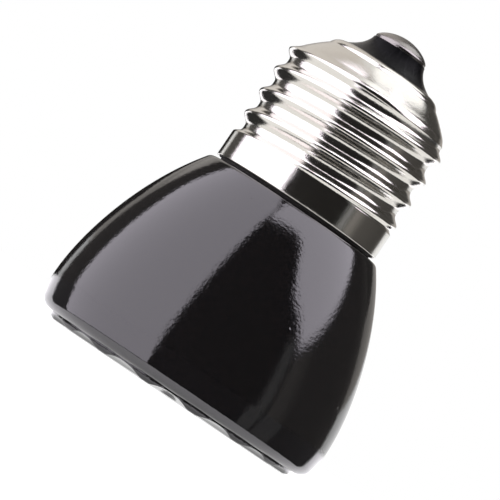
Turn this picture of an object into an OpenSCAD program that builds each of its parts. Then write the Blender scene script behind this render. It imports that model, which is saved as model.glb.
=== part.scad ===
// Small ceramic infrared heat lamp: a glazed bell with a petalled heating face,
// carried by a rolled Edison screw cap. It stands on its heating face, +Z up to the contact.

/* [Ceramic body] */
// Largest diameter of the bell
body_d = 45; // [36:0.5:70]
// Height from the heating face to the flat shoulder under the cap
body_h = 30.9; // [26:0.1:50]
// Height of the widest point above the heating face
widest_z = 5.4; // [4:0.1:8]
// Diameter where the bell's flank would meet the shoulder
shoulder_d = 27.4; // [24:0.1:34]
// Lean of the flank from the vertical at the shoulder
shoulder_lean = 37; // [20:1:55]
// Rounding between flank and shoulder
shoulder_round = 1; // [0.4:0.1:2]
// Diameter of the bell just above its bottom corner
rim_d = 44.3; // [35:0.1:69]
// Radius of the bottom corner
rim_round = 1.9; // [1:0.1:3]
// Thickness of the bell's wall
wall_t = 4.4; // [3:0.1:6]
// Thickness of the plate that holds the heating coil
plate_t = 7; // [6:0.1:10]
// Height over which the wall closes in to the neck
closing_h = 3; // [2:0.5:6]
// Gap between the neck and the inside of the thread's roots
neck_gap = 0.7; // [0.4:0.05:1.5]
// Bore of the neck
neck_bore = 14.6; // [10:0.1:16]
// Height of the neck above the shoulder
neck_h = 6.6; // [4:0.1:10]

/* [Heating face] */
// Number of petals round the heating face
petals = 16; // [12:1:20]
// Depth of a valley between two petals, at their outer edge
valley_depth = 0.7; // [0.4:0.05:1]
// Share of the way from petal to petal that the valley takes up
valley_share = 0.8; // [0.6:0.05:0.9]
// Rounding of the petals' outer edge
petal_round = 0.6; // [0.3:0.05:0.7]
// Width of the step between the petals and the bottom corner
step_w = 0.45; // [0.2:0.05:2]
// Height of that step above the valleys
step_rise = 0.2; // [0.1:0.05:0.5]
// Diameter of the shallow dish in the middle
dish_d = 15; // [8:0.5:18]
// Width of the flat ring between the dish and the valleys
dish_ring = 1.5; // [1:0.1:3]

/* [Heating coil] */
// Number of loops in the coil
coil_loops = 10; // [8:1:12]
// Diameter over the wound coil
coil_d = 1.8; // [1.2:0.1:2.4]
// Height of the coil's middle above the heating face
coil_z = 3.2; // [2.8:0.1:4]
// Radius of the circle that the loops are centred on
loop_pcd_r = 14.6; // [13.5:0.1:16]
// Radius of each loop
loop_r = 2.9; // [2.4:0.1:3.1]
// Radius of the turn between two loops
turn_r = 2.3; // [2.1:0.1:2.6]

/* [Screw cap] */
// Diameter over the thread's crests
thread_d = 26.3; // [24:0.1:28]
// Depth of the thread from crest to root
thread_depth = 1.05; // [0.6:0.05:1.3]
// How much narrower the crest is than the root, 1 for alike
crest_form = 1.7; // [1:0.1:2.5]
// Distance from crest to crest, seven turns to the inch
thread_pitch = 3.629; // [3:0.001:4.5]
// Length of the threaded wall
thread_len = 13.8; // [10:0.1:18]
// Height over which the skirt turns into the thread
thread_start = 0.7; // [0.4:0.05:1.2]
// How far the plain skirt stands in from the thread's crests
skirt_inset = 0.1; // [0:0.05:0.5]
// Height of the plain skirt
skirt_h = 4.05; // [3:0.05:6]
// Thickness of the rolled sheet
sheet_t = 0.3; // [0.2:0.05:0.4]
// Height of the domed end
dome_h = 3.7; // [2.5:0.1:5]
// Diameter of the crease at the dome's top
crease_d = 17.6; // [16:0.1:20]
// Opening in the rounded lip that grips the glass
lip_d = 14.2; // [13:0.1:15]
// Rise of the lip above the crease
lip_rise = 1.15; // [0.8:0.05:2]
// Gap between the skirt's edge and the ceramic shoulder
joint_gap = 0.55; // [0.3:0.05:1]
// Distance of the cement in that gap from the inside of the skirt
cement_recess = 0.4; // [0.2:0.1:0.8]

/* [Glass insulator] */
// Diameter of the glass under the contact
glass_neck_d = 8.3; // [7:0.1:9]
// Height of the glass above the lip
glass_rise = 3; // [2:0.05:4]
// Depth of the glass inside the cap, below the crease
glass_depth = 2.7; // [2:0.1:4]
// Bore for the contact's lead
glass_bore = 1.4; // [1:0.1:2]
// Width of the step round the bottom of the glass
glass_step = 0.8; // [0.4:0.1:1.5]

/* [Contact] */
// Diameter of the contact button
contact_d = 8.1; // [6:0.1:9]
// Height of the button's straight edge
contact_edge = 0.35; // [0.2:0.05:0.6]
// Rise of the button's dome
contact_rise = 1.65; // [1:0.05:2.2]
// Thickness of the button's metal
contact_t = 0.5; // [0.3:0.05:0.7]

/* [Leads] */
// Diameter of the two lead wires
lead_d = 0.8; // [0.5:0.1:1]
// Outside diameter of the insulating sleeves
sleeve_d = 2.6; // [2:0.1:3]
// Straight rise of the leads above the heating plate
lead_rise = 5; // [3:0.5:8]
// Height of the leads' upper bend above the neck
lead_top = 3; // [2:0.5:4]
// Distance of the leads from the axis inside the neck
lead_offset = 4.2; // [3:0.1:5]
// Diameter of the weld at the shell
shell_weld_d = 1.5; // [1:0.1:2]
// Length of the weld at the shell
shell_weld_len = 0.8; // [0.5:0.1:1.2]
// Diameter of the weld under the contact
contact_weld_d = 1.6; // [1:0.1:2.2]
// Height of the weld under the contact
contact_weld_h = 0.6; // [0.4:0.1:0.8]

/* [Fits] */
// Clearance between round pieces
fit = 0.05; // [0.02:0.01:0.1]
// Clearance inside the rolled sheet of the cap
sheet_fit = 0.1; // [0.05:0.01:0.2]

/* [Hidden] */

$fn = 96;
SIDES = 44;               // flat sides round the rolled cap
STEPS_PER_PITCH = 10;     // rows in one turn of the thread
FLANK_STEPS = 18;         // steps along the bell's flank
VALLEY_SIDES = 40;        // flat sides of a valley where it is drawn as a mesh
LOOP_STEPS = 10;          // steps round a loop of the coil
TURN_STEPS = 7;           // steps round a turn between two loops
DOME_STEPS = 7;           // rows up the domed end
LIP_STEPS = 5;            // rows over the rounded lip
OVER = 1;                 // how far a cutter passes the surface it cuts
SKIM = 0.05;              // how far a valley's cutter passes the heating face
FLANK_LOW = 0.28;         // handles of the flank's curve, as shares of its height
FLANK_HIGH = 0.37;
START_BELOW = 0.3;        // share of the thread's start that lies below the top of the skirt
CREST_SHARE = 0.32;       // the first crest on the +X side, in pitches above the thread's start
FADE_START = 0.3;         // the thread fades between these, in pitches below and above the dome's foot
FADE_END = 0.45;
DOME_BOW = [0.54, 0.56];  // handle of the dome's curve, as shares of its width and height
LIP_BOW = [0.26, 0.83];   // handle of the lip's curve, in the same way
GLASS_BOW = [1.04, 0.3];  // handle of the cone's curve, as shares of the neck's radius and the rise
CEMENT_FILL = 0.6;        // share of the skirt's height that the cement fills
BEND_SWELL = 1.12;        // a lead's bend is this much thicker than the wire

// Heights up the axis
skirt_z = body_h + joint_gap;
thread_z = skirt_z + skirt_h;
dome_z = thread_z + thread_len;
crease_z = dome_z + dome_h;
lip_z = crease_z + lip_rise;
glass_z = lip_z + glass_rise;

// Thread
wave_r = thread_depth / 2;
thread_mid_r = (thread_d - thread_depth) / 2;
crest_z = thread_z + CREST_SHARE * thread_pitch;
start_from = thread_z - START_BELOW * thread_start;
start_to = start_from + thread_start;
neck_r = thread_d / 2 - thread_depth - sheet_t - neck_gap;

// Curves and lines

function mix(a, b, k) = a + (b - a) * k;
function ramp(a, b, x) = let (k = min(1, max(0, (x - a) / (b - a)))) k * k * (3 - 2 * k);
function curve3(a, b, c, k) = mix(mix(a, b, k), mix(b, c, k), k);
function curve4(a, b, c, d, k) = mix(curve3(a, b, c, k), curve3(b, c, d, k), k);
function arc(centre, r, from, to, steps) =
    [for (i = [0:steps]) centre + r * [cos(mix(from, to, i / steps)), sin(mix(from, to, i / steps))]];
function reversed(list) = [for (i = [len(list) - 1:-1:0]) list[i]];
function around(r, angle) = r * [cos(angle), sin(angle)];

// A line moved sideways by t, to its left when it runs upwards, which is towards the axis
function inset(line, t) = [
    for (i = [0:len(line) - 1])
        let (d = line[min(i + 1, len(line) - 1)] - line[max(i - 1, 0)])
        line[i] + t * [-d.y, d.x] / norm(d)
];

// The bell's outline, from its bottom corner up to its shoulder

body_r = body_d / 2;
rim_r = rim_d / 2;
flank_h = body_h - widest_z;
flank_end = [shoulder_d / 2, body_h];
flank_handle = FLANK_HIGH * flank_h * [sin(shoulder_lean), -cos(shoulder_lean)];

step_z = valley_depth + step_rise;
rim_top = step_z + rim_round;
petal_r = rim_r - rim_round - step_w;

petal_edge = arc([petal_r - petal_round, petal_round], petal_round, -90, 0, 4);
rim_corner = arc([rim_r - rim_round, rim_top], rim_round, -90, -8, 8);
rim_side = [
    for (k = [0.25:0.25:0.75])
        curve3([rim_r, rim_top], [body_r, mix(rim_top, widest_z, 0.5)], [body_r, widest_z], k)
];
flank = [
    for (i = [0:FLANK_STEPS - 1])
        curve4([body_r, widest_z], [body_r, widest_z + FLANK_LOW * flank_h],
               flank_end + flank_handle, flank_end, i / FLANK_STEPS)
];
shoulder = arc(flank_end - shoulder_round * [tan(45 - shoulder_lean / 2), 1], shoulder_round,
               shoulder_lean, 90, 6);

function flank_r(z) = lookup(z, [for (p = concat(rim_side, flank, shoulder)) [p.y, p.x]]);

cavity_top = body_h - closing_h;
cavity_r = flank_r(cavity_top) - wall_t;

module ceramic_outline() {
    polygon(concat([[0, 0]], petal_edge, [[petal_r, step_z]], rim_corner, rim_side, flank, shoulder,
                   [[neck_r, body_h], [neck_r, body_h + neck_h], [0, body_h + neck_h]]));
}

module ceramic_hollow() {
    side = [for (p = flank) if (p.y > plate_t && p.y < cavity_top) p - [wall_t, 0]];
    polygon(concat([[0, plate_t], [flank_r(plate_t) - wall_t, plate_t]], side,
                   [[cavity_r, cavity_top], [neck_bore / 2, body_h],
                    [neck_bore / 2, body_h + neck_h + OVER], [0, body_h + neck_h + OVER]]));
}

// A valley is a cone with its point in the middle of the face, so it widens with the petals. Its
// upper line climbs to the valley's depth, and its sides meet the face at the valley's half width.
valley_climb = atan(valley_depth / petal_r);
valley_half = valley_share * 180 / petals;
valley_dip = atan((cos(valley_climb) - cos(valley_half)) / sin(valley_climb));
valley_spread = tan(valley_climb + valley_dip);

module valley() {
    start = (dish_d / 2 + dish_ring) * cos(valley_dip);
    end = body_r + OVER;
    rotate([0, 90 + valley_dip, 0])
        translate([0, 0, start])
            cylinder(r1 = start * valley_spread, r2 = end * valley_spread, h = end - start,
                     $fn = VALLEY_SIDES);
}

// Only the part of each cone that cuts is kept, so that no two cutters meet
module valleys() {
    for (i = [0:petals - 1])
        rotate(i * 360 / petals)
            intersection() {
                valley();
                translate([0, -body_r, -SKIM]) cube([2 * body_r, 2 * body_r, step_z + SKIM]);
            }
}

module dish() {
    r = (pow(dish_d / 2, 2) + pow(valley_depth, 2)) / (2 * valley_depth);
    translate([0, 0, valley_depth - r])
        sphere(r = r);
}

// The coil's path: loops joined by turns that bend the other way

half_step = 180 / coil_loops;
turn_pcd_r = loop_pcd_r * cos(half_step)
           - sqrt(pow(loop_r + turn_r, 2) - pow(loop_pcd_r * sin(half_step), 2));
turn_centre = turn_pcd_r * [cos(half_step), sin(half_step)];
join_dir = turn_centre - [loop_pcd_r, 0];
join_angle = atan2(join_dir.y, join_dir.x);           // where a loop hands over to a turn
join_point = [loop_pcd_r, 0] + loop_r * [cos(join_angle), sin(join_angle)];
join_r = norm(join_point);
join_turn = atan2(join_point.y, join_point.x);

// A station on the path: [x, y, direction of the side away from the loop's middle]
function loop_stations(i) = [
    for (k = [0:LOOP_STEPS])
        let (home = around(loop_pcd_r, 2 * i * half_step),
             turned = 2 * i * half_step + join_angle * (2 * k / LOOP_STEPS - 1))
            concat(home + around(loop_r, turned), [turned])
];
function turn_stations(i) = [
    for (k = [1:TURN_STEPS - 1])
        let (home = around(turn_pcd_r, (2 * i + 1) * half_step),
             open_angle = 180 - join_angle + half_step,
             turned = (2 * i + 1) * half_step + mix(360 - open_angle, open_angle, k / TURN_STEPS))
            concat(home + around(turn_r, turned), [turned + 180])
];

// The turn between the last loop and the first is left out: the two leads rise from its ends
coil_stations = [
    for (i = [1:coil_loops])
        each i < coil_loops ? concat(loop_stations(i), turn_stations(i)) : loop_stations(i)
];

module wound_coil() {
    sides = 8;
    points = [
        for (station = coil_stations, k = [0:sides - 1])
            let (out = coil_d / 2 * cos(360 * k / sides), up = coil_d / 2 * sin(360 * k / sides))
                at([station.x, station.y] + around(out, station.z), coil_z + up)
    ];
    last = len(coil_stations) - 1;
    walls = [
        for (n = [0:last - 1], k = [0:sides - 1])
            let (a = n * sides, b = a + sides, j = (k + 1) % sides)
                each [[a + k, a + j, b + j], [a + k, b + j, b + k]]
    ];
    ends = [[for (k = [sides - 1:-1:0]) k], [for (k = [0:sides - 1]) last * sides + k]];
    polyhedron(points, concat(walls, ends), convexity = 20);
}

// The ring-shaped bed in the plate that the coil lies in
module coil_bed() {
    coil_r = coil_d / 2 + fit;
    inner = turn_pcd_r - turn_r - coil_r;
    outer = loop_pcd_r + loop_r + coil_r;
    rotate_extrude()
        translate([inner, coil_z - coil_r]) square([outer - inner, 2 * coil_r]);
}

// Leads: each rises from a coil end, closes in to the neck and goes on to its terminal

contact_angle = half_step - 90;               // where the contact's lead stands in the neck
shell_angle = half_step + 90;                 // where the shell's lead stands
neck_top = body_h + neck_h;
lead_start_z = coil_z + coil_d / 2 + fit;
lead_bend_z = plate_t + lead_rise;
lead_neck_z = cavity_top - OVER;
lead_top_z = neck_top + lead_top;
shell_weld_z = crest_z + thread_pitch * (1.5 + shell_angle / 360);
shell_weld_end = thread_d / 2 - thread_depth - sheet_t - sheet_fit;
glass_bottom = crease_z - glass_depth;
contact_weld_z = glass_z + dome_height(contact_weld_d / 2, contact_t) - fit - contact_weld_h;

function at(plan, z) = [plan.x, plan.y, z];

contact_route = [
    at(around(join_r, join_turn), lead_start_z),
    at(around(join_r, join_turn), lead_bend_z),
    at(around(lead_offset, contact_angle), lead_neck_z),
    at(around(lead_offset, contact_angle), lead_top_z),
    [0, 0, glass_bottom - OVER],
    [0, 0, contact_weld_z]
];
shell_route = [
    at(around(join_r, 2 * half_step - join_turn), lead_start_z),
    at(around(join_r, 2 * half_step - join_turn), lead_bend_z),
    at(around(lead_offset, shell_angle), lead_neck_z),
    at(around(lead_offset, shell_angle), lead_top_z),
    at(around(shell_weld_end - shell_weld_len - lead_d / 2, shell_angle), shell_weld_z),
    at(around(shell_weld_end - shell_weld_len, shell_angle), shell_weld_z)
];

module rod(from, to, r) {
    d = to - from;
    translate(from)
        rotate([0, acos(d.z / norm(d)), atan2(d.y, d.x)])
            cylinder(r = r, h = norm(d), $fn = 32);
}

module wire(route, r) {
    for (i = [0:len(route) - 2])
        rod(route[i], route[i + 1], r);
    for (i = [1:len(route) - 2])
        translate(route[i]) sphere(r = BEND_SWELL * r, $fn = 32);
}

// The rolled cap: a line of [radius, height] from the skirt's edge to the lip

skirt_r = thread_d / 2 - skirt_inset;
crease_r = crease_d / 2;
lip_r = lip_d / 2;

function wall_r(z) = mix(skirt_r, thread_mid_r, ramp(start_from, start_to, z));
function wave(z) = wave_r * ramp(start_from, start_to, z)
                 * (1 - ramp(dome_z - FADE_START * thread_pitch, dome_z + FADE_END * thread_pitch, z));
// The wave that climbs one pitch in each turn: +1 at a crest and -1 in a root
function thread_wave(z, turn) =
    2 * pow((1 + cos(360 * (z - crest_z) / thread_pitch - turn)) / 2, crest_form) - 1;

wall_line = [
    for (z = concat([skirt_z, mix(skirt_z, start_from, CEMENT_FILL)],
                    [for (z = [start_from:thread_pitch / STEPS_PER_PITCH:dome_z - 0.1]) z]))
        [wall_r(z), z]
];
dome_handle = [mix(crease_r, thread_mid_r, DOME_BOW.x), dome_z + DOME_BOW.y * dome_h];
lip_handle = [mix(crease_r, lip_r, LIP_BOW.x), crease_z + LIP_BOW.y * lip_rise];
end_line = concat(
    [for (i = [0:DOME_STEPS])
        curve3([thread_mid_r, dome_z], dome_handle, [crease_r, crease_z], i / DOME_STEPS)],
    [for (i = [1:LIP_STEPS])
        curve3([crease_r, crease_z], lip_handle, [lip_r, lip_z], i / LIP_STEPS)]
);
cap_line = concat(wall_line, end_line);

module rolled_shell() {
    rows = concat(cap_line, reversed(inset(cap_line, sheet_t)));
    last = len(rows);
    points = [
        for (row = rows, i = [0:SIDES - 1])
            let (turn = 360 * i / SIDES)
                at(around(row.x + wave(row.y) * thread_wave(row.y, turn), turn), row.y)
    ];
    faces = [
        for (k = [0:last - 1], i = [0:SIDES - 1])
            let (a = k * SIDES, b = ((k + 1) % last) * SIDES, j = (i + 1) % SIDES)
                each [[a + i, b + i, b + j], [a + i, b + j, a + j]]
    ];
    polyhedron(points, faces, convexity = 12);
}

// The button's dome over a given wall: the height of its surface above the glass
function dome_height(r, t) = contact_edge
    + (contact_rise - t) * pow(1 - pow(r / (contact_d / 2 - t), 2), 0.75);
function dome_line(t) = [
    for (i = [0:12])
        let (r = (contact_d / 2 - t) * cos(90 * i / 12))
            [r, dome_height(r, t)]
];

// Pieces

module ceramic_body() {
    color([0.07, 0.07, 0.08])
        difference() {
            rotate_extrude() ceramic_outline();
            rotate_extrude() ceramic_hollow();
            valleys();
            dish();
            coil_bed();
            for (route = [contact_route, shell_route])
                translate([route[0].x, route[0].y, coil_z])
                    cylinder(d = lead_d + 2 * fit, h = plate_t);
        }
}

module heating_coil() {
    color([0.45, 0.42, 0.4]) wound_coil();
}

module lead_to_contact() {
    color([0.75, 0.72, 0.68]) wire(contact_route, lead_d / 2);
}

module lead_to_shell() {
    color([0.75, 0.72, 0.68]) wire(shell_route, lead_d / 2);
}

module lead_sleeves() {
    color([0.9, 0.88, 0.82])
        for (angle = [contact_angle, shell_angle])
            translate(at(around(lead_offset, angle), lead_neck_z + 1))
                difference() {
                    cylinder(d = sleeve_d, h = lead_top_z - lead_neck_z - 2);
                    translate([0, 0, -OVER])
                        cylinder(d = lead_d + 2 * fit, h = lead_top_z - lead_neck_z + 2 * OVER);
                }
}

module cap_cement() {
    inner = neck_r + fit;
    outer = skirt_r - sheet_t - sheet_fit;
    recess = outer - cement_recess;
    top = mix(skirt_z, start_from, CEMENT_FILL);
    color([0.16, 0.15, 0.14])
        rotate_extrude()
            polygon([[inner, body_h], [recess, body_h], [recess, skirt_z], [outer, skirt_z],
                     [outer, top], [inner, top]]);
}

module screw_shell() {
    color([0.78, 0.77, 0.74]) rolled_shell();
}

module glass_insulator() {
    seat = [for (p = inset(end_line, sheet_t + sheet_fit)) if (p.y > dome_z + 0.5 * thread_pitch) p];
    cone_handle = [GLASS_BOW.x * glass_neck_d / 2, lip_z + GLASS_BOW.y * glass_rise];
    cone = [
        for (k = [0:1/10:1])
            curve3([lip_r - sheet_fit, lip_z], cone_handle, [glass_neck_d / 2, glass_z], k)
    ];
    color([0.06, 0.06, 0.07])
        rotate_extrude()
            polygon(concat([[glass_bore / 2, glass_bottom], [seat[0].x - glass_step, glass_bottom]],
                           seat, cone, [[glass_bore / 2, glass_z]]));
}

module centre_contact() {
    color([0.7, 0.68, 0.64])
        translate([0, 0, glass_z])
            rotate_extrude()
                polygon(concat([[contact_d / 2, 0]], dome_line(0),
                               reversed(dome_line(contact_t)), [[contact_d / 2 - contact_t, 0]]));
}

module contact_weld() {
    color([0.6, 0.6, 0.62])
        translate([0, 0, contact_weld_z]) cylinder(d = contact_weld_d, h = contact_weld_h);
}

module shell_weld() {
    color([0.6, 0.6, 0.62])
        translate(shell_route[len(shell_route) - 1])
            rotate([0, 90, shell_angle])
                cylinder(d = shell_weld_d, h = shell_weld_len);
}

ceramic_body();
heating_coil();
lead_to_contact();
lead_to_shell();
lead_sleeves();
cap_cement();
screw_shell();
glass_insulator();
centre_contact();
contact_weld();
shell_weld();
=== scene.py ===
# %% [markdown]
# # A ceramic heat lamp on a screw cap
# The lamp has a black glazed bell that gives off heat, a rolled nickel screw cap, a black glass
# insulator and a domed contact. The CAD model gives the frame, and this script dresses it.
# Almost every visible piece is round about one axis, so most pieces are turned from an outline,
# as on a lathe, and the thread and the petals are then pressed into the turned form by a rule.

# %% Load the frame
import math

import bmesh
import bpy
from mathutils import Matrix, Vector


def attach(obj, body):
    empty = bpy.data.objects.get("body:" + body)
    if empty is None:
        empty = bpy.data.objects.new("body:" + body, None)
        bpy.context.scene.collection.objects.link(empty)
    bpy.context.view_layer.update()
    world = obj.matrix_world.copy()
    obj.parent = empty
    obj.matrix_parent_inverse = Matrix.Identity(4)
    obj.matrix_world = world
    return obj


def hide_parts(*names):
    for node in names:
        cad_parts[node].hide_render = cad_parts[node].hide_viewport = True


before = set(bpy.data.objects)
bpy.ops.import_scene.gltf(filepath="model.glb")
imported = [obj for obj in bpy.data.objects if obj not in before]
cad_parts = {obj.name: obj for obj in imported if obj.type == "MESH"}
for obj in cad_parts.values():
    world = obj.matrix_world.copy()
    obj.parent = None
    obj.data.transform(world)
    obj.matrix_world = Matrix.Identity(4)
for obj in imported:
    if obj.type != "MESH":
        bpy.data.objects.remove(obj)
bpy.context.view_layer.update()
print("CAD nodes:", ", ".join(sorted(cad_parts)))

# %% [markdown]
# ## Sizes
# These are the sizes of the CAD model, in millimetres, under the names that a maker would use.
# Blender works in metres, so every outline is multiplied by MM when it becomes a mesh.

# %% Sizes of the lamp
MM = 0.001
BODY_R, BODY_H, WIDEST_Z = 22.5, 30.9, 5.4
SHOULDER_R, SHOULDER_LEAN, SHOULDER_ROUND = 13.7, 37.0, 1.0
RIM_R, RIM_ROUND = 22.15, 1.9
WALL, PLATE, NECK_R, NECK_BORE_R, NECK_H = 4.4, 7.0, 11.1, 7.3, 6.6
PETALS, VALLEY_DEPTH, VALLEY_SHARE, PETAL_ROUND = 16, 0.7, 0.8, 0.6
STEP_W, STEP_RISE, DISH_R, DISH_RING = 0.45, 0.2, 7.5, 1.5
THREAD_R, THREAD_DEPTH, PITCH, THREAD_LEN = 13.15, 1.05, 3.629, 13.8
CREST_FORM, CREST_SHARE, THREAD_START = 1.7, 0.32, 0.7
SKIRT_R, SKIRT_H, SHEET = 13.05, 4.05, 0.3
DOME_H, CREASE_R, LIP_R, LIP_RISE, JOINT_GAP = 3.7, 8.8, 7.1, 1.15, 0.55
GLASS_NECK_R, GLASS_RISE, GLASS_DEPTH, GLASS_BORE_R = 4.15, 3.0, 2.7, 0.7
CONTACT_R, CONTACT_EDGE, CONTACT_RISE, CONTACT_T = 4.05, 0.35, 1.65, 0.5
SHEET_FIT = 0.1

STEP_Z = VALLEY_DEPTH + STEP_RISE
PETAL_R = RIM_R - RIM_ROUND - STEP_W
SKIRT_Z = BODY_H + JOINT_GAP
THREAD_Z = SKIRT_Z + SKIRT_H
DOME_Z = THREAD_Z + THREAD_LEN
CREASE_Z = DOME_Z + DOME_H
LIP_Z = CREASE_Z + LIP_RISE
GLASS_Z = LIP_Z + GLASS_RISE
print(f"the lamp stands {GLASS_Z + CONTACT_EDGE + CONTACT_RISE:.2f} mm high")

# %% [markdown]
# ## Camera
# The photograph was taken from about 60 cm, level with the heating face, and the camera was
# rolled, so the lamp leans to the right in the picture though it stands upright here.
# The camera's axes are built in three steps: aim at the lamp, take up the small turn that puts
# the lamp off the picture's centre, then roll about the view. The picture's scale at the lamp,
# in pixels to the millimetre, fixes the lens.

# %% Make the camera
EYE = Vector((0, -600, 4.0))
AIM = Vector((0, 0, 29.7))
PICTURE, PIXELS_TO_MM, SENSOR = 500, 7.257, 36
ASIDE, ABOVE = 13.17, -48.90                # the aim in the picture, before the roll, in pixels
SMALL_ROLL, PICTURE_ROLL = math.radians(-0.527), math.radians(34.5)
FOCUS = PIXELS_TO_MM * (AIM - EYE).length   # the lens, in pixels
TURN_SIDE, TURN_UP = math.atan(ASIDE / FOCUS), math.atan(ABOVE / FOCUS)


def turn(first, second, angle):
    """Two axes at right angles, turned together in their own plane."""
    return (math.cos(angle) * first + math.sin(angle) * second,
            math.cos(angle) * second - math.sin(angle) * first)


ahead = (AIM - EYE).normalized()
right = ahead.cross(Vector((0, 0, 1))).normalized()
up = right.cross(ahead)
right, up = turn(right, up, SMALL_ROLL)
right, ahead = turn(right, ahead, TURN_SIDE)
ahead, up = turn(ahead, up, TURN_UP)
right, up = turn(right, up, PICTURE_ROLL)

camera_data = bpy.data.cameras.new("camera")
camera_data.sensor_width = SENSOR
camera_data.lens = SENSOR * FOCUS / PICTURE
camera_data.clip_start, camera_data.clip_end = 0.02, 20
camera = bpy.data.objects.new("camera", camera_data)
bpy.context.scene.collection.objects.link(camera)
axes = (right, up, -ahead)
camera.matrix_world = Matrix([[axis[row] for axis in axes] + [EYE[row] * MM]
                              for row in range(3)] + [[0, 0, 0, 1]])
bpy.context.scene.camera = camera
bpy.context.scene.view_settings.view_transform = "Standard"
print(f"lens {camera_data.lens:.1f} mm")

# %% [markdown]
# ## Writing node trees
# Materials and Geometry Nodes are both node trees. Two small classes let the script write them
# as sums: `Net.add` makes any node from its type, its settings and its sockets, and a `Wire` is
# a socket that can be added, multiplied and so on, each operator making one Math node.

# %% Two classes for node trees


class Wire:
    """One output socket of a tree, which can stand in a sum."""

    def __init__(self, net, socket):
        self.net, self.socket = net, socket

    def out(self, key):
        """Another output of the same node."""
        return Wire(self.net, self.socket.node.outputs[key])

    def math(self, operation, *others):
        values = dict(enumerate((self, *others)))
        return self.net.add("ShaderNodeMath", {"operation": operation}, values)

    def __add__(self, other):
        return self.math("ADD", other)

    def __mul__(self, other):
        return self.math("MULTIPLY", other)

    def __sub__(self, other):
        return self.math("SUBTRACT", other)

    def __truediv__(self, other):
        return self.math("DIVIDE", other)

    def __pow__(self, other):
        return self.math("POWER", other)

    def __rsub__(self, other):
        return self.net.add("ShaderNodeMath", {"operation": "SUBTRACT"}, {0: other, 1: self})

    def __rtruediv__(self, other):
        return self.net.add("ShaderNodeMath", {"operation": "DIVIDE"}, {0: other, 1: self})

    __radd__, __rmul__ = __add__, __mul__

    def ramp(self, low, high):
        """0 below low, 1 above high, and a smooth change between."""
        return self.net.add("ShaderNodeMapRange", {"interpolation_type": "SMOOTHSTEP"},
                            {"Value": self, "From Min": low, "From Max": high})


class Net:
    """A node tree that is being written."""

    def __init__(self, tree):
        self.tree = tree
        tree.nodes.clear()

    def add(self, kind, settings=None, inputs=None, out=0):
        made = self.tree.nodes.new(kind)
        for name, value in (settings or {}).items():
            if name == "stops":
                for place, colour in value[1:-1]:
                    made.color_ramp.elements.new(place)
                for stop, (place, colour) in zip(made.color_ramp.elements, value):
                    stop.position, stop.color = place, colour
            else:
                setattr(made, name, value)
        for key, value in (inputs or {}).items():
            if isinstance(value, Wire):
                self.tree.links.new(value.socket, made.inputs[key])
            else:
                made.inputs[key].default_value = value
        return Wire(self, made.outputs[out]) if made.outputs else None

    def mix(self, factor, first, second):
        """A colour between two colours."""
        return self.add("ShaderNodeMix", {"data_type": "RGBA"}, {0: factor, 6: first, 7: second}, 2)

    def noise(self, scale, detail=2.0, vector=None, roughness=0.5):
        inputs = {"Scale": scale, "Detail": detail, "Roughness": roughness}
        if vector is not None:
            inputs["Vector"] = vector
        return self.add("ShaderNodeTexNoise", {}, inputs)


def grey(value, warmth=0.0):
    return (value * (1 + warmth), value, value * (1 - warmth), 1)


print("node classes ready")

# %% [markdown]
# ## Stage
# The picture's background is plain white, and the lamp's gloss shows what stood round it: a tall
# soft light on the left, a large one overhead and to the right, and a dark room in front. A
# polished piece is lit by what it mirrors, so the stage is built by direction, as seen from the
# lamp: each light or dark card is a patch of a big sphere between two heights at each bearing.
# Bearing 0 is towards the camera and 90 is to the right. The cards show only in reflections.

# %% World and floor
scene = bpy.context.scene
world = bpy.data.worlds.new("studio")
scene.world = world
world.use_nodes = True
net = Net(world.node_tree)
rays = net.add("ShaderNodeLightPath")
seen = rays.out("Is Camera Ray").math("MAXIMUM", rays.out("Is Glossy Ray"))
seen = seen.math("MAXIMUM", rays.out("Is Transmission Ray"))
lit = net.add("ShaderNodeBackground", {}, {"Color": grey(1), "Strength": seen * 0.75 + 0.25})
net.add("ShaderNodeOutputWorld", {}, {"Surface": lit})


def link(name, mesh):
    made = bpy.data.objects.new(name, mesh)
    scene.collection.objects.link(made)
    return made


def show_from_above(net, surface):
    """Finish a stage material: the surface from above, nothing from below."""
    below = net.add("ShaderNodeNewGeometry", out="Backfacing")
    clear = net.add("ShaderNodeBsdfTransparent")
    one_sided = net.add("ShaderNodeMixShader", {}, {0: below, 1: surface, 2: clear})
    net.add("ShaderNodeOutputMaterial", {}, {"Surface": one_sided})


def stage_material(name, colour, glow):
    """A matt stage surface that also shines a little by itself."""
    made = bpy.data.materials.new(name)
    made.use_nodes = True
    net = Net(made.node_tree)
    matt = net.add("ShaderNodeBsdfDiffuse", {}, {"Color": colour})
    shine = net.add("ShaderNodeEmission", {}, {"Color": colour, "Strength": glow})
    show_from_above(net, net.add("ShaderNodeAddShader", {}, {0: matt, 1: shine}))
    return made


def flat_ring(name, inner, outer, height, first, last, steps=64):
    """A flat ring on the floor between two bearings, in metres."""
    shape = bmesh.new()
    bearings = [math.radians(first + (last - first) * k / steps) for k in range(steps + 1)]
    rows = [[shape.verts.new((r * math.sin(b), -r * math.cos(b), height)) for b in bearings]
            for r in (inner, outer)]
    for k in range(steps):
        shape.faces.new((rows[0][k], rows[1][k], rows[1][k + 1], rows[0][k + 1]))
    mesh = bpy.data.meshes.new(name)
    shape.to_mesh(mesh)
    shape.free()
    return link(name, mesh)


def only_mirrored(card):
    """The card shows in reflections and nowhere else, and throws no shadow."""
    card.visible_camera = card.visible_diffuse = card.visible_shadow = False
    card.visible_transmission = card.visible_volume_scatter = False


floor = flat_ring("floor", 0.0, 6.0, -0.0001, 0, 360)
floor.data.materials.append(stage_material("floor_white", grey(0.9), 0.9))
print("world and floor ready")

# %% Lights and dark cards by bearing
MIDDLE = Vector((0, 0, 0.022))


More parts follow.
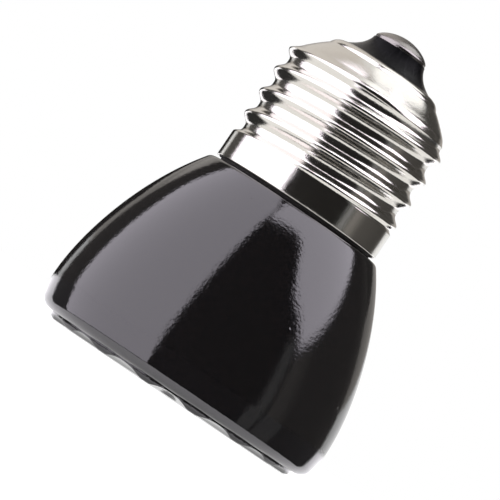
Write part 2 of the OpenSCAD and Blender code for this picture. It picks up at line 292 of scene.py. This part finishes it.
def sky_patch(name, columns, reach, rows=24):
    """A patch of a sphere round the lamp. Each column is (bearing, lowest, highest) in degrees."""
    shape = bmesh.new()
    uv = shape.loops.layers.uv.new("edge")
    grid = []
    for bearing, low, high in columns:
        b = math.radians(bearing)
        line = []
        for k in range(rows + 1):
            e = math.radians(low + (high - low) * k / rows)
            way = Vector((math.sin(b) * math.cos(e), -math.cos(b) * math.cos(e), math.sin(e)))
            line.append(shape.verts.new(MIDDLE + reach * way))
        grid.append(line)
    for i in range(len(grid) - 1):
        for k in range(rows):
            face = shape.faces.new((grid[i][k], grid[i][k + 1], grid[i + 1][k + 1], grid[i + 1][k]))
            corners = ((i, k), (i, k + 1), (i + 1, k + 1), (i + 1, k))
            for loop, (column, row) in zip(face.loops, corners):
                loop[uv].uv = (column / (len(grid) - 1), row / rows)
    mesh = bpy.data.meshes.new(name)
    shape.to_mesh(mesh)
    shape.free()
    return link(name, mesh)


def spread(columns, count):
    """The same edge with more columns, evenly spaced by bearing."""
    made = []
    first, last = columns[0][0], columns[-1][0]
    for n in range(count + 1):
        b = first + (last - first) * n / count
        for left_one, right_one in zip(columns, columns[1:]):
            if left_one[0] <= b <= right_one[0] + 1e-6:
                k = (b - left_one[0]) / (right_one[0] - left_one[0])
                made.append((b,) + tuple(p + (q - p) * k for p, q in zip(left_one[1:], right_one[1:])))
                break
    return made


def soft_light(name, columns, strength, colour, soft_side, soft_low):
    """A light patch whose brightness falls off towards its edges."""
    patch = sky_patch(name, spread(columns, 60), 0.6)
    made = bpy.data.materials.new(name)
    made.use_nodes = True
    net = Net(made.node_tree)
    place = net.add("ShaderNodeUVMap", {"uv_map": "edge"})
    across = net.add("ShaderNodeSeparateXYZ", {}, {0: place})
    along = across.out(1)
    fade = across.ramp(0, soft_side) * (1 - across).ramp(0, soft_side) * along.ramp(0, soft_low)
    shine = net.add("ShaderNodeEmission", {}, {"Color": colour, "Strength": fade * strength})
    net.add("ShaderNodeOutputMaterial", {}, {"Surface": shine})
    patch.data.materials.append(made)
    patch.visible_camera = False
    return patch


FLOOR_EL = -2.05            # the floor's elevation at the lights' distance
LEFT_EDGE = [(-124, 30, 80), (-120, 24, 80), (-117, 15, 80), (-115, 5, 80), (-113, FLOOR_EL, 80),
             (-60, FLOOR_EL, 80), (-25, FLOOR_EL, 68)]
RIGHT_EDGE = [(-25, 61, 84), (7, 63, 84), (24, 62, 84), (37, 57, 84), (39, 50, 84), (45, 39, 84),
              (58, 30, 84), (67, 21, 84), (79, 25, 84), (95, 31, 84), (107, 36, 80), (120, 41, 76)]
STREAK_EDGE = [(53, FLOOR_EL, 26), (58, FLOOR_EL, 26), (66, FLOOR_EL, 26)]
BEHIND_EDGE = [(118, 74, 89), (128, 60, 89), (140, 49, 89), (153, 40, 89), (166, 46, 89),
               (180, 60, 89), (196, 70, 89), (215, 76, 89)]
LILAC = (0.95, 0.90, 1.0, 1)
soft_light("light_left", LEFT_EDGE, 2.4, LILAC, 0.02, 0.001)
soft_light("light_right", RIGHT_EDGE, 3.0, LILAC, 0.02, 0.10)
soft_light("light_streak", STREAK_EDGE, 0.28, grey(1), 0.4, 0.001)
soft_light("light_behind", BEHIND_EDGE, 1.6, grey(1), 0.06, 0.06)

# The dark room is not one black: its brightness by bearing, as a share of the way round.
ROOM = [(-141, 0.08), (-114, 0.08), (-100, 0.02), (57, 0.015), (66, 0.24), (75, 0.20),
        (84, 0.09), (128, 0.06), (141, 0.1)]


def room_card(name, bearings, low, high, tones, reach=0.9):
    """A dark patch whose brightness follows its tones by bearing."""
    first, last = bearings
    card = sky_patch(name, [(first + (last - first) * n / 60, low, high) for n in range(61)],
                     reach, 16)
    made = bpy.data.materials.new(name)
    made.use_nodes = True
    net = Net(made.node_tree)
    place = net.add("ShaderNodeUVMap", {"uv_map": "edge"})
    across = net.add("ShaderNodeSeparateXYZ", {}, {0: place})
    stops = [((bearing - first) / (last - first), grey(tone, 0.06)) for bearing, tone in tones]
    colour = net.add("ShaderNodeValToRGB", {"stops": stops}, {0: across})
    shine = net.add("ShaderNodeEmission", {}, {"Color": colour})
    net.add("ShaderNodeOutputMaterial", {}, {"Surface": shine})
    card.data.materials.append(made)
    only_mirrored(card)


room_card("room_dark", (-141, 141), -1.38, 90, ROOM)
room_card("room_back", (141, 219), 6, 18, [(141, 0.35), (180, 0.45), (200, 0.5), (219, 0.5)])
room_card("room_behind", (141, 219), 18, 62, [(141, 0.05), (170, 0.08), (184, 0.35), (196, 0.72),
                                              (219, 0.78)])
room_card("room_low_left", (-180, -150), -1.4, 12, [(-180, 0.02), (-150, 0.02)], 0.85)
room_card("room_high_left", (-142, -118), 41, 86, [(-142, 0.72), (-118, 0.65)], 0.85)
print("lights ready")

# %% Low cards
# The bell's lowest part mirrors what lies close round it, so the dark room and the left light go
# on as flat cards on the floor. Each card's sides are the lines that light takes off the bell.


def floor_card(name, height, first, last, near, far, glow, tint=(1, 1, 1), steps=48):
    """A glossy-only card on the floor, between two bearings of the light that the bell mirrors."""
    shape = bmesh.new()
    rows = []
    for n in range(steps + 1):
        way = math.radians(between(first, last, n / steps))
        start = Vector((math.sin(way / 2), -math.cos(way / 2), 0)) * BODY_R * MM
        out = Vector((math.sin(way), -math.cos(way), 0))
        rows.append([shape.verts.new(start + out * reach + Vector((0, 0, height)))
                     for reach in (near, far)])
    for one, two in zip(rows, rows[1:]):
        shape.faces.new((one[0], one[1], two[1], two[0]))
    mesh = bpy.data.meshes.new(name)
    shape.to_mesh(mesh)
    shape.free()
    card = link(name, mesh)
    card.data.materials.append(stage_material(name, (*(0.02 * t for t in tint), 1), glow))
    only_mirrored(card)


def between(first, last, k):
    return first + (last - first) * k


# Each mat: name, height, first and last bearing, glow, tint.
for name, height, first, last, glow, tint in (
        ("mat_margin", 0.0003, -141, -113, 3, (1, 1, 1)), ("mat_left", 0.0006, -113, -26, 117, LILAC),
        ("mat_dark", 0.0003, -113, 84, 0, (1, 1, 1)), ("mat_streak", 0.0006, 52, 64, 11, (1, 1, 1)),
        ("mat_glow", 0.0006, 66, 84, 9, (1, 1, 1)), ("mat_right", 0.0003, 84, 141, 2, (1, 1, 1))):
    floor_card(name, height, first, last, 0.002, 0.9, glow, tint[:3])

# The cap, higher up, looks down past the bell on a floor that is pale in front and dark behind:
# three rings that show only from above.
for name, near, first, last, glow in (("bounce_left", 0.0245, -114, -25, 1.1),
                                      ("bounce_right", 0.05, -25, 142, 1.1),
                                      ("bounce_behind", 0.0245, 142, 246, 0.03)):
    look = bpy.data.materials.new(name)
    look.use_nodes = True
    net = Net(look.node_tree)
    show_from_above(net, net.add("ShaderNodeEmission", {},
                                 {"Color": grey(1, 0.01), "Strength": glow}))
    ring = flat_ring(name, near, 0.17, 0.0065, first, last)
    ring.data.materials.append(look)
    only_mirrored(ring)
print("low cards ready")

# %% [markdown]
# ## Turning
# A turned piece is an outline carried round an axis. Here the outline is a mesh of points, and
# Geometry Nodes lay a grid whose rows are those points and whose columns are steps of a full
# turn. The same tree rolls the thread: it moves each point in or out by a wave that climbs one
# pitch in each turn. With a thread depth of zero it is a plain lathe.

# %% Outlines


def bezier(points, steps, skip_last=False):
    """Points along a Bezier curve of any degree."""
    made = []
    for n in range(steps + (0 if skip_last else 1)):
        k, left_over = n / steps, [Vector(p) for p in points]
        while len(left_over) > 1:
            left_over = [p.lerp(q, k) for p, q in zip(left_over, left_over[1:])]
        made.append(left_over[0])
    return made


def arc(centre, radius, first, last, steps):
    return [Vector((centre[0] + radius * math.cos(a), centre[1] + radius * math.sin(a)))
            for a in (math.radians(first + (last - first) * n / steps) for n in range(steps + 1))]


def line(*points, step=0.5):
    """Points along straight stretches, no further apart than step."""
    made = [Vector(points[0])]
    for start, end in zip(points, points[1:]):
        start, end = Vector(start), Vector(end)
        count = max(1, math.ceil((end - start).length / step))
        made += [start.lerp(end, n / count) for n in range(1, count + 1)]
    return made


def inset(outline, depth):
    """An outline moved towards the axis by depth, square to itself."""
    made = []
    for n, point in enumerate(outline):
        way = outline[min(n + 1, len(outline) - 1)] - outline[max(n - 1, 0)]
        made.append(point + depth * Vector((-way.y, way.x)).normalized())
    return made


print("outline helpers ready")

# %% The lathe tree


def new_tree(name, numbers):
    """A Geometry Nodes tree with geometry in and out and the named number inputs."""
    tree = bpy.data.node_groups.new(name, "GeometryNodeTree")
    face = tree.interface
    face.new_socket("Geometry", in_out="INPUT", socket_type="NodeSocketGeometry")
    for number in numbers:
        kind = "NodeSocketInt" if number in ("Sides", "Petals") else "NodeSocketFloat"
        face.new_socket(number, in_out="INPUT", socket_type=kind)
    face.new_socket("Material", in_out="INPUT", socket_type="NodeSocketMaterial")
    face.new_socket("Geometry", in_out="OUTPUT", socket_type="NodeSocketGeometry")
    return tree


def end_tree(net, geometry, material):
    """Every tree ends in the same way: smooth shading, real instances and the material."""
    smooth = net.add("GeometryNodeSetShadeSmooth", {}, {"Geometry": geometry})
    real = net.add("GeometryNodeRealizeInstances", {}, {"Geometry": smooth})
    finished = net.add("GeometryNodeSetMaterial", {}, {"Geometry": real, "Material": material})
    net.add("NodeGroupOutput", {}, {0: finished})


lathe = new_tree("lathe_and_roll", ["Sides", "Pitch", "Depth", "Crest height", "Crest form",
                                    "Thread start", "Start length", "Thread end", "Fade length"])
net = Net(lathe)
given = net.add("NodeGroupInput")
points = net.add("GeometryNodeAttributeDomainSize", {}, {0: given.out("Geometry")})
columns = given.out("Sides") + 1
grid = net.add("GeometryNodeMeshGrid", {}, {"Vertices X": points, "Vertices Y": columns})
index = net.add("GeometryNodeInputIndex")
row = ((index + 0.5) / columns).math("FLOOR")
column = index - row * columns
outline_point = net.add(
    "GeometryNodeSampleIndex", {"data_type": "FLOAT_VECTOR"},
    {"Geometry": given.out("Geometry"), "Index": row + 0.25,
     "Value": net.add("GeometryNodeInputPosition")})
radius = net.add("ShaderNodeSeparateXYZ", {}, {0: outline_point})
height = radius.out(2)
angle = column / given.out("Sides") * math.tau
phase = (height - given.out("Crest height")) / given.out("Pitch") * math.tau - angle
crest = ((phase.math("COSINE") + 1) * 0.5) ** given.out("Crest form")
begun = height.math("SUBTRACT", given.out("Thread start")) / given.out("Start length")
faded = height.math("SUBTRACT", given.out("Thread end")) / given.out("Fade length")
swell = (crest - 0.5) * given.out("Depth") * begun.ramp(0, 1) * (1 - faded.ramp(0, 1))
reach = radius + swell
place = net.add("ShaderNodeCombineXYZ", {}, {0: reach * angle.math("COSINE"),
                                             1: reach * angle.math("SINE"), 2: height})
turned = net.add("GeometryNodeSetPosition", {}, {"Geometry": grid, "Position": place})
merged = net.add("GeometryNodeMergeByDistance", {}, {"Geometry": turned, "Distance": 1e-6})
end_tree(net, merged, given.out("Material"))
print("lathe tree:", len(lathe.nodes), "nodes")

# %% Running a tree and keeping its result


def add_tree(piece, tree, values):
    """Puts a tree on a piece and sets its named inputs by their identifiers."""
    modifier = piece.modifiers.new(tree.name, "NODES")
    modifier.node_group = tree
    for item in tree.interface.items_tree:
        if item.item_type == "SOCKET" and item.in_out == "INPUT" and item.name in values:
            modifier[item.identifier] = values[item.name]


def keep_result(piece):
    """Turns what the trees made into a plain closed mesh whose faces point outwards."""
    graph = bpy.context.evaluated_depsgraph_get()
    mesh = bpy.data.meshes.new_from_object(piece.evaluated_get(graph), depsgraph=graph)
    piece.modifiers.clear()
    shape = bmesh.new()
    shape.from_mesh(mesh)
    bmesh.ops.remove_doubles(shape, verts=shape.verts, dist=1e-6)
    bmesh.ops.dissolve_degenerate(shape, edges=shape.edges, dist=1e-7)
    bmesh.ops.recalc_face_normals(shape, faces=shape.faces)
    if shape.calc_volume(signed=True) < 0:
        bmesh.ops.reverse_faces(shape, faces=shape.faces)
    loose_edges = sum(1 for edge in shape.edges if not edge.is_manifold)
    shape.to_mesh(mesh)
    shape.free()
    mesh.set_sharp_from_angle(angle=math.radians(50))
    mesh.name = piece.name
    piece.data = mesh
    print(f"{piece.name}: {len(mesh.polygons)} faces, {loose_edges} open edges")


def dress(piece, slot, *nodes):
    """A finished piece rides on the lamp's one body and stands for its CAD nodes."""
    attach(piece, "root")
    if nodes:
        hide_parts(*nodes)


def turned_piece(name, outline, sides, material, **thread):
    """A piece turned from an outline in millimetres. Thread values are in millimetres too."""
    mesh = bpy.data.meshes.new(name)
    points = [(p[0] * MM, 0, p[1] * MM) for p in outline]
    mesh.from_pydata(points, [(n, n + 1) for n in range(len(points) - 1)], [])
    piece = link(name, mesh)
    values = {"Sides": sides, "Pitch": PITCH * MM, "Depth": 0.0, "Crest height": 0.0,
              "Crest form": 1.0, "Thread start": 0.0, "Start length": MM, "Thread end": 1.0,
              "Fade length": MM, "Material": material}
    values.update(thread)
    add_tree(piece, lathe, values)
    return piece


print("turning ready")

# %% [markdown]
# ## Finishes
# Each finish is a Principled shader with its own small tree. Patterns read Object coordinates,
# in metres, so a scale of 1000 makes marks about a millimetre across. Bump is written in
# millimetres: the Bump node's distance is one millimetre.

# %% A helper for finishes


def finish_of(name, write, **constants):
    """A material whose write(net) returns what changes over the surface, by socket name."""
    made = bpy.data.materials.new(name)
    made.use_nodes = True
    net = Net(made.node_tree)
    varied = write(net)
    height = varied.pop("Height", None)
    if height is not None:
        varied["Normal"] = net.add("ShaderNodeBump", {}, {"Distance": MM, "Height": height})
    shader = net.add("ShaderNodeBsdfPrincipled", {}, {**constants, **varied})
    net.add("ShaderNodeOutputMaterial", {}, {"Surface": shader})
    return made


def stretched(net, across, up):
    """Object coordinates scaled differently across and up the lamp."""
    place = net.add("ShaderNodeTexCoord", {}, {}, "Object")
    return net.add("ShaderNodeMapping", {}, {"Vector": place, "Scale": (across, across, up)})


def round_the_axis(net):
    """Object coordinates as (radius, angle, height)."""
    place = net.add("ShaderNodeTexCoord", {}, {}, "Object")
    x = net.add("ShaderNodeSeparateXYZ", {}, {0: place})
    y, z = x.out(1), x.out(2)
    return (x * x + y * y).math("SQRT"), y.math("ARCTAN2", x), z


# %% [markdown]
# ### Black glaze
# The bell is dipped in a black glaze and fired. The glaze is deep and glossy, with a faint
# orange peel, slow ripples that run round the bell, a few pinholes, and a hint of brown in
# random clouds. The ripples are what make the edges of the reflections waver.

# %% Black glaze
PINHOLES = ((0.0086, -0.0189, 0.0168), (0.0139, -0.0165, 0.0118), (0.0158, -0.0154, 0.0053))


def write_glaze(net):
    peel = net.noise(620, 2.0)
    ripple = net.noise(1.0, 2.0, stretched(net, 260, 1100))
    sag = net.noise(95, 1.0)
    cloud = net.noise(160, 3.0)
    place = net.add("ShaderNodeTexCoord", {}, {}, "Object")
    pits = net.add("ShaderNodeTexVoronoi", {"feature": "F1"}, {"Vector": place, "Scale": 150.0})
    pit = 1 - pits.ramp(0.010, 0.035)
    for spot in PINHOLES:
        away = net.add("ShaderNodeVectorMath", {"operation": "DISTANCE"}, {0: place, 1: spot},
                       "Value")
        pit = pit.math("MAXIMUM", 1 - away.ramp(0.00008, 0.00030))
    height = peel * 0.0022 + ripple * 0.0050 + sag * 0.012 - pit * 0.035
    colour = net.mix(cloud.ramp(0.35, 0.75), (0.0035, 0.0035, 0.0038, 1), (0.0075, 0.0062, 0.0058, 1))
    return {"Base Color": colour, "Roughness": cloud * 0.05 + 0.045 + pit * 0.15, "Height": height}


black_glaze = finish_of("black_glaze", write_glaze, IOR=1.7)
print("glaze ready")

# %% [markdown]
# ### Nickel plate
# The cap is rolled from thin brass sheet and plated with bright nickel. It is a mirror with a
# warm grey tint, fine lines round the axis from the rolls, shallow waves in the sheet, and a
# slight haze in the roots of the thread, where a cloth doesn't reach.

# %% Nickel plate


def write_nickel(net):
    radius, angle, height = round_the_axis(net)
    along = net.add("ShaderNodeCombineXYZ", {}, {0: angle * 3, 1: radius * 400, 2: height * 9000})
    lines = net.noise(1.0, 2.0, along)
    wave = net.noise(190, 1.0)
    haze = net.noise(420, 4.0).ramp(0.45, 0.75) * (1 - radius.ramp(0.0122, 0.0129))
    colour = net.mix(haze * 0.5, (0.70, 0.68, 0.64, 1), (0.40, 0.36, 0.31, 1))
    rough = lines * 0.05 + 0.075 + haze * 0.12
    return {"Base Color": colour, "Roughness": rough, "Height": lines * 0.0006 + wave * 0.010}


nickel = finish_of("nickel", write_nickel, Metallic=1.0)
print("nickel ready")

# %% [markdown]
# ### Black glass
# The insulator is black glass, pressed hot into the cap, so it flows smoothly from the lip up
# to the contact. It is almost a perfect black, with faint flow lines down the cone.

# %% Black glass


def write_glass(net):
    radius, angle, height = round_the_axis(net)
    flow = net.add("ShaderNodeCombineXYZ", {}, {0: angle * 4, 1: 0.0, 2: height * 120})
    streak = net.noise(2.0, 2.0, flow)
    swirl = net.noise(240, 1.0)
    colour = net.mix(streak.ramp(0.5, 0.8), (0.003, 0.003, 0.0035, 1), (0.012, 0.012, 0.013, 1))
    return {"Base Color": colour, "Roughness": streak * 0.06 + 0.03, "Height": swirl * 0.02 + streak * 0.01}


black_glass = finish_of("black_glass", write_glass, IOR=1.52, **{"Specular IOR Level": 0.04})
print("glass ready")

# %% [markdown]
# ### Contact metal
# The button is pressed from plated brass. Sockets rub it, so its crown is duller than its edge,
# with short fine scratches in many directions.

# %% Contact metal


def write_contact(net):
    radius, angle, height = round_the_axis(net)
    scratch = net.noise(1.0, 3.0, stretched(net, 2600, 500))
    cloud = net.noise(700, 3.0)
    worn = 1 - radius.ramp(0.0008, 0.0034)
    colour = net.mix(worn * cloud, (0.27, 0.255, 0.245, 1), (0.19, 0.175, 0.16, 1))
    rough = worn * 0.10 + 0.16 + scratch * 0.10
    return {"Base Color": colour, "Roughness": rough, "Height": scratch * 0.002 + cloud * 0.006}


contact_metal = finish_of("contact_metal", write_contact, Metallic=1.0)
print("contact metal ready")

# %% [markdown]
# ## Bell
# The bell is one casting: the heating face, the flared wall and the neck that goes up into the
# cap. Its outline is drawn with the same curves as in the CAD model, with many more points, and
# the petals of the heating face are pressed in by a second tree: it works out how far a point is
# from the middle of the nearest valley and lifts the face to the valley's round bottom.

# %% Outline of the bell


def bell_outline():
    """The bell's outline from the middle of the dish round to the middle of the cavity."""
    flare = BODY_H - WIDEST_Z
    lean = math.radians(SHOULDER_LEAN)
    top = Vector((SHOULDER_R, BODY_H))
    rim_low = RIM_R - RIM_ROUND
    rim_top = STEP_Z + RIM_ROUND
    dish = [Vector((r, VALLEY_DEPTH * (1 - (r / DISH_R) ** 2)))
            for r in (DISH_R * n / 12 for n in range(12))]
    face = line((DISH_R, 0), (PETAL_R - PETAL_ROUND, 0), step=0.25)
    edge = arc((PETAL_R - PETAL_ROUND, PETAL_ROUND), PETAL_ROUND, -86, 0, 10)
    step = [Vector((PETAL_R, STEP_Z)), Vector((PETAL_R + 0.04, STEP_Z)), Vector((rim_low, STEP_Z))]
    corner = arc((rim_low, rim_top), RIM_ROUND, -87, -8, 26)
    side = bezier([corner[-1], (BODY_R, (rim_top + WIDEST_Z) / 2), (BODY_R, WIDEST_Z)], 10)[1:]
    flank = bezier([(BODY_R, WIDEST_Z), (BODY_R, WIDEST_Z + 0.28 * flare),
                    top + 0.37 * flare * Vector((math.sin(lean), -math.cos(lean))), top], 64)[1:]
    lost = SHOULDER_ROUND * math.tan(math.radians(45 - SHOULDER_LEAN / 2))
    shoulder = arc((SHOULDER_R - lost, BODY_H - SHOULDER_ROUND), SHOULDER_ROUND, SHOULDER_LEAN, 90, 10)
    flank = [p for p in flank if p.y < shoulder[0].y]
    neck = line((NECK_R, BODY_H), (NECK_R, BODY_H + NECK_H), (NECK_BORE_R, BODY_H + NECK_H),
                (NECK_BORE_R, BODY_H), step=1.5)
    cavity_top = BODY_H - 3
    cavity = [p - Vector((WALL, 0)) for p in flank[::4] if PLATE < p.y < cavity_top]
    return (dish + face + edge + step + corner + side + flank + shoulder + neck + cavity[::-1]
            + [Vector((0, PLATE))])


print(len(bell_outline()), "points in the bell's outline")

# %% [markdown]
# A valley is part of a cone with its point in the middle of the face, so that it widens with the
# petals. Seen from that point, the cone's surface stands at an angle over the face that depends
# only on the bearing from the valley's middle, and the tree works it out: for a cone of half angle
# *spread* whose axis dips by *dip*, cos(dip)cos(side)cos(up) - sin(dip)sin(up) = cos(spread).

# %% Pressing the valleys
CLIMB = math.atan(VALLEY_DEPTH / PETAL_R)
HALF = VALLEY_SHARE * math.pi / PETALS
DIP = math.atan((math.cos(CLIMB) - math.cos(HALF)) / math.sin(CLIMB))

press = new_tree("press_valleys", ["Petals", "Dip", "Spread", "First radius", "Last radius",
                                   "Blend", "Rounding"])
net = Net(press)
given = net.add("NodeGroupInput")
x = net.add("ShaderNodeSeparateXYZ", {}, {0: net.add("GeometryNodeInputPosition")})
y, z = x.out(1), x.out(2)
radius = (x * x + y * y).math("SQRT")
share = y.math("ARCTAN2", x) / math.tau * given.out("Petals")
side = (share - share.math("ROUND")) / given.out("Petals") * math.tau
dip = given.out("Dip")
level = dip.math("COSINE") * side.math("COSINE")
sunk = dip.math("SINE")
reach = (level * level + sunk * sunk).math("SQRT")
up = (given.out("Spread").math("COSINE") / reach).math("ARCCOSINE") - sunk.math("ARCTAN2", level)
cone_z = radius * up.math("TANGENT")
begun = (radius - given.out("First radius")) / given.out("Blend")
ended = (radius - given.out("Last radius")) / given.out("Blend")
kept = begun.ramp(0, 1) * (1 - ended.ramp(0, 1))
lift = cone_z.math("SMOOTH_MAX", 0.0, given.out("Rounding")) * kept
lifted = z.math("MAXIMUM", lift)
place = net.add("ShaderNodeCombineXYZ", {}, {0: x, 1: y, 2: lifted})
pressed = net.add("GeometryNodeSetPosition", {}, {"Geometry": given.out("Geometry"),
                                                  "Position": place})
end_tree(net, pressed, given.out("Material"))
print("valley tree:", len(press.nodes), "nodes")

# %% Make the bell
bell = turned_piece("bell", bell_outline(), 640, black_glaze)
add_tree(bell, press, {"Petals": PETALS, "Dip": DIP, "Spread": CLIMB + DIP,
                       "First radius": (DISH_R + DISH_RING - 0.2) * MM,
                       "Last radius": (PETAL_R + 0.02) * MM, "Blend": 0.6 * MM,
                       "Rounding": 0.12 * MM, "Material": black_glaze})
keep_result(bell)
dress(bell, "black_glaze", "ceramic_body")

# %% [markdown]
# ## Screw cap
# The cap is a cup of sheet 0.3 mm thick, rolled between two shaped wheels: the thread is one
# wave that climbs round it, with narrow crests and wider roots. The skirt below is left plain,
# the end is domed, and its lip is folded over the glass. The outline goes up the outside and
# back down the inside, and the lathe tree rolls the thread into both at once.

# %% Outline of the cap
THREAD_MID_R = THREAD_R - THREAD_DEPTH / 2
START_FROM = THREAD_Z - 0.3 * THREAD_START


def smooth(low, high, x):
    k = min(1.0, max(0.0, (x - low) / (high - low)))
    return k * k * (3 - 2 * k)


def wall_outline(rows_per_pitch):
    """The cap's wall before the thread is rolled: the plain skirt, then the threaded length."""
    low = line((SKIRT_R, SKIRT_Z + 0.15), (SKIRT_R, START_FROM - 0.05), step=0.35)
    count = round((DOME_Z - START_FROM) / PITCH * rows_per_pitch)
    zs = [between(START_FROM, DOME_Z - 0.1, n / count) for n in range(count + 1)]
    return low + [Vector((between(SKIRT_R, THREAD_MID_R,
                                  smooth(START_FROM, START_FROM + THREAD_START, z)), z)) for z in zs]


def end_outline(steps):
    """The domed end, up to its crease, and the rounded lip that grips the glass."""
    dome = bezier([(THREAD_MID_R, DOME_Z),
                   (between(CREASE_R, THREAD_MID_R, 0.54), DOME_Z + 0.56 * DOME_H),
                   (CREASE_R, CREASE_Z)], steps)
    lip = bezier([(CREASE_R, CREASE_Z), (between(CREASE_R, LIP_R, 0.26), CREASE_Z + 0.83 * LIP_RISE),
                  (LIP_R, LIP_Z)], steps // 2)
    return dome + lip[1:]


outside = wall_outline(26) + end_outline(36)
inside = inset(wall_outline(12) + end_outline(16), SHEET)
edge = arc((SKIRT_R - SHEET / 2, SKIRT_Z + SHEET / 2), SHEET / 2, -180, 0, 8)
cap_outline = edge[:-1] + outside + inside[::-1] + [edge[0]]
print(len(cap_outline), "points in the cap's outline")

# %% Make the cap
cap = turned_piece("cap", cap_outline, 288, nickel, Depth=THREAD_DEPTH * MM, **{
    "Crest height": (THREAD_Z + CREST_SHARE * PITCH) * MM, "Crest form": CREST_FORM,
    "Thread start": START_FROM * MM, "Start length": THREAD_START * MM,
    "Thread end": (DOME_Z - 0.3 * PITCH) * MM, "Fade length": 0.75 * PITCH * MM})
keep_result(cap)
dress(cap, "nickel", "screw_shell")

# %% [markdown]
# ## Glass and contact
# The glass fills the cap's end under the lip and rises in a hollow cone to the button. The
# button is a thin pressed dome with a short straight edge. Both are plain turned pieces.

# %% Make the glass insulator
seat = [p for p in inset(end_outline(24), SHEET + SHEET_FIT) if p.y > DOME_Z + 0.5 * PITCH]
cone = bezier([(LIP_R - SHEET_FIT, LIP_Z), (1.10 * GLASS_NECK_R, LIP_Z + 0.4 * GLASS_RISE),
               (GLASS_NECK_R, GLASS_Z)], 30)
glass_bottom = CREASE_Z - GLASS_DEPTH
glass_outline = (line((GLASS_BORE_R, glass_bottom), (seat[0].x - 0.8, glass_bottom)) + seat + cone
                 + line((GLASS_NECK_R, GLASS_Z), (GLASS_BORE_R, GLASS_Z))[1:]
                 + [Vector((GLASS_BORE_R, glass_bottom))])
glass = turned_piece("insulator", glass_outline, 192, black_glass)
keep_result(glass)
dress(glass, "black_glass", "glass_insulator")

# %% Make the contact


def dome_outline(wall, steps):
    """The button's dome, less a wall, from its edge to its crown."""
    reach = CONTACT_R - wall
    made = []
    for n in range(steps + 1):
        r = reach * math.cos(math.pi / 2 * n / steps)
        height = CONTACT_EDGE + (CONTACT_RISE - wall) * (1 - (r / reach) ** 2) ** 0.75
        made.append(Vector((r, GLASS_Z + height)))
    made[-1].x = 0.0
    return made


button_outline = (dome_outline(CONTACT_T, 20)[::-1] + [Vector((CONTACT_R - CONTACT_T, GLASS_Z)),
                  Vector((CONTACT_R - 0.05, GLASS_Z))] + dome_outline(0, 36))
button = turned_piece("contact", button_outline, 160, contact_metal)
keep_result(button)
dress(button, "contact_metal", "centre_contact")

# %% [markdown]
# ## Inside pieces
# The cement, the coil, the leads and the welds keep their CAD shapes, which are right as they
# are. Each gets a finish of its own, so that the lamp can be opened or cut and still look true.

# %% Finishes of the inside pieces


def write_cement(net):
    grain = net.noise(2600, 4.0)
    lump = net.noise(700, 2.0)
    colour = net.mix(grain.ramp(0.4, 0.7), (0.012, 0.011, 0.010, 1), (0.06, 0.055, 0.05, 1))
    return {"Base Color": colour, "Roughness": grain * 0.2 + 0.75, "Height": grain * 0.05 + lump * 0.08}


def write_coil(net):
    turns = net.add("ShaderNodeTexWave", {"wave_type": "RINGS"}, {"Scale": 900.0, "Distortion": 0.4})
    scale = net.noise(1500, 3.0)
    colour = net.mix(scale, (0.17, 0.15, 0.14, 1), (0.30, 0.26, 0.23, 1))
    return {"Base Color": colour, "Roughness": scale * 0.25 + 0.4, "Height": turns * 0.08}


def write_lead(net):
    drawn = net.noise(1.0, 2.0, stretched(net, 6000, 300))
    colour = net.mix(drawn, (0.50, 0.47, 0.43, 1), (0.66, 0.63, 0.58, 1))
    return {"Base Color": colour, "Roughness": drawn * 0.15 + 0.25, "Height": drawn * 0.004}


def write_sleeve(net):
    radius, angle, height = round_the_axis(net)
    braid = ((angle * 90 + height * 9000).math("SINE") * (angle * 90 - height * 9000).math("SINE"))
    fray = net.noise(1800, 3.0)
    colour = net.mix(braid.ramp(-0.6, 0.6), (0.55, 0.51, 0.43, 1), (0.82, 0.79, 0.71, 1))
    return {"Base Color": colour, "Roughness": fray * 0.2 + 0.7, "Height": braid * 0.03 + fray * 0.02}


def write_weld(net):
    bead = net.noise(1300, 2.0)
    colour = net.mix(bead, (0.42, 0.42, 0.43, 1), (0.62, 0.61, 0.60, 1))
    return {"Base Color": colour, "Roughness": bead * 0.3 + 0.25, "Height": bead * 0.06}


nickel_wire = finish_of("nickel_wire", write_lead, Metallic=1.0)
weld = finish_of("weld", write_weld, Metallic=1.0)
INSIDE = {
    "cap_cement": ("cement", finish_of("cement", write_cement)),
    "heating_coil": ("resistance_wire", finish_of("resistance_wire", write_coil, Metallic=1.0)),
    "lead_to_contact": ("nickel_wire", nickel_wire),
    "lead_to_shell": ("nickel_wire", nickel_wire),
    "lead_sleeves": ("white_sleeve", finish_of("white_sleeve", write_sleeve)),
    "contact_weld": ("weld", weld),
    "shell_weld": ("weld", weld),
}
for name, (slot, material) in INSIDE.items():
    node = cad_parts[name]
    for place in node.material_slots:
        place.link = "OBJECT"
        place.material = material
print(len(INSIDE), "inside pieces have their finish")
